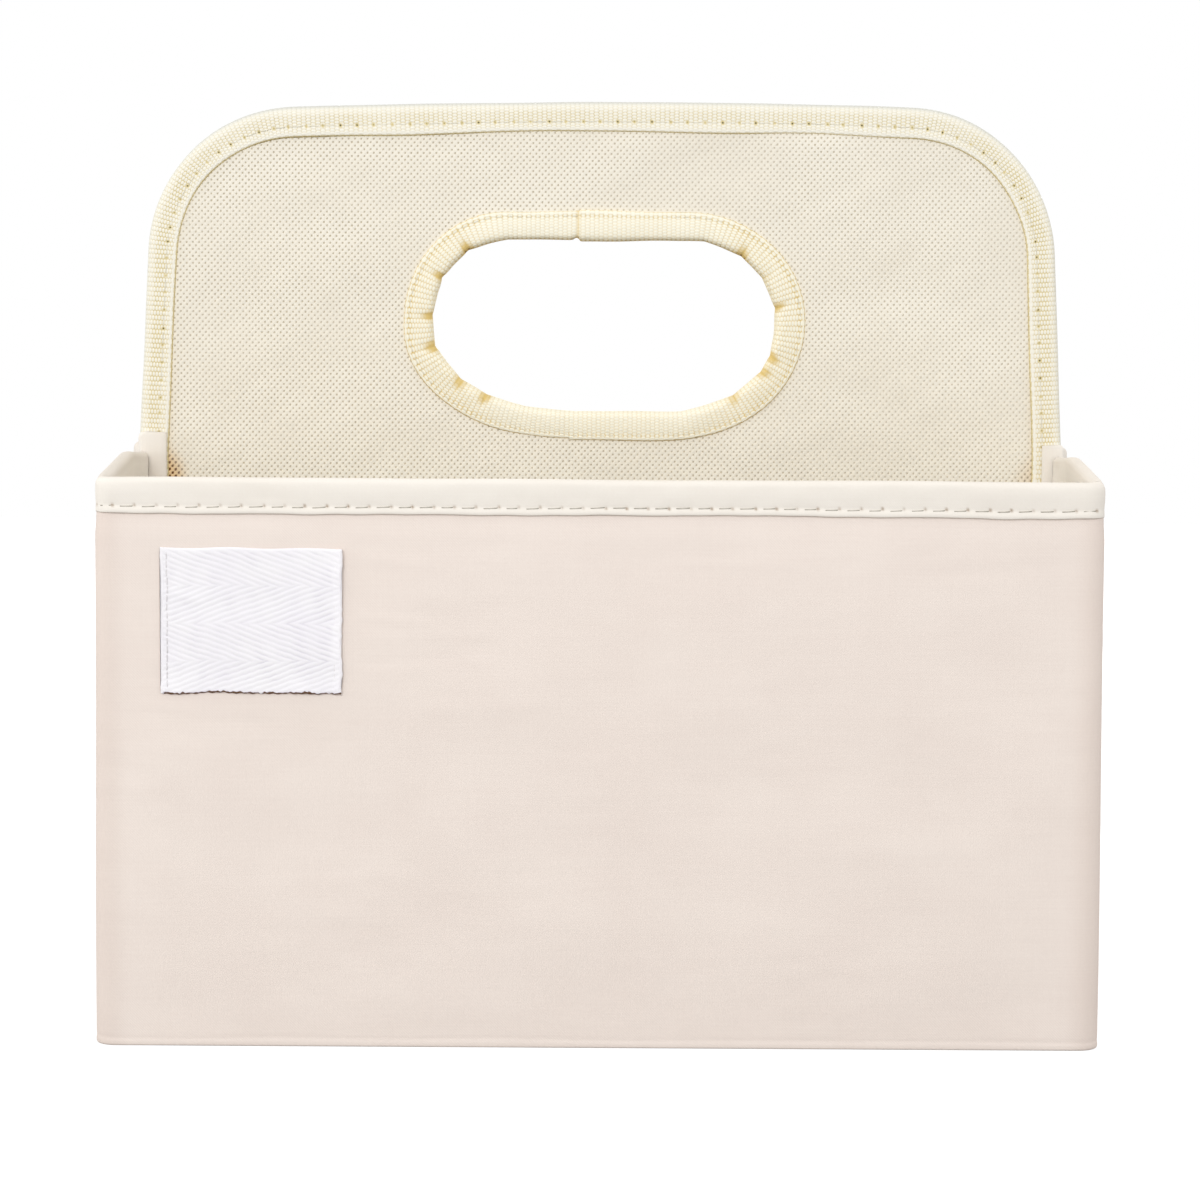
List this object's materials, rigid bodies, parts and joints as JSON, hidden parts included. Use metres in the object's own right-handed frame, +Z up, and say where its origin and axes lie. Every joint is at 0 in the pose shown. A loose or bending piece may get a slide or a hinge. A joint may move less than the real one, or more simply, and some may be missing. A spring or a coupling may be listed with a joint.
{
  "type": "diaper caddy",
  "caption": "Upright open cloth box with stiff walls, parted by a tall handle panel with a tape-bound hand hole; loose floor inserts lift out.",
  "frame": {"origin": "middle of the underside", "axes": "+X to the right seen from the front, the wall with the patch faces -Y, +Z up"},
  "size_m": [0.307, 0.178, 0.2875],
  "materials": {
    "cover_cloth": "plain weave, matt",
    "binding_cloth": "plain weave, matt",
    "nonwoven": "point-bonded nonwoven with a staggered dot emboss, matt",
    "woven_tape": "cross-ribbed woven tape, soft sheen",
    "patch_twill": "herringbone twill, matt",
    "card": "grey-brown stiffening card, matt"
  },
  "bodies": {
    "caddy": {"front_cover": "cover_cloth", "back_cover": "cover_cloth", "right_front_cover": "cover_cloth", "right_rear_cover": "cover_cloth", "left_rear_cover": "cover_cloth", "left_front_cover": "cover_cloth", "bottom_cover": "cover_cloth", "front_card": "card", "back_card": "card", "right_front_card": "card", "right_rear_card": "card", "left_rear_card": "card", "left_front_card": "card", "front_lining": "nonwoven", "back_lining": "nonwoven", "right_front_lining": "nonwoven", "right_rear_lining": "nonwoven", "left_rear_lining": "nonwoven", "left_front_lining": "nonwoven", "bottom_lining": "nonwoven", "front_binding": "binding_cloth", "back_binding": "binding_cloth", "right_front_binding": "binding_cloth", "right_rear_binding": "binding_cloth", "left_rear_binding": "binding_cloth", "left_front_binding": "binding_cloth", "handle_card": "card", "handle_front_facing": "nonwoven", "handle_rear_facing": "nonwoven", "handle_edge_tape": "woven_tape", "hand_hole_tape": "woven_tape", "right_joint_cloth": "binding_cloth", "left_joint_cloth": "binding_cloth", "front_patch": "patch_twill"},
    "front_insert": {"front_insert_card": "card", "front_insert_cloth": "nonwoven"},
    "rear_insert": {"rear_insert_card": "card", "rear_insert_cloth": "nonwoven"}
  },
  "joints": [
    {"name": "front_insert_lift", "type": "slide", "parent": "caddy", "child": "front_insert", "axis": [0, 0, 1], "range_m": [0, 0.29]},
    {"name": "rear_insert_lift", "type": "slide", "parent": "caddy", "child": "rear_insert", "axis": [0, 0, 1], "range_m": [0, 0.29]}
  ]
}
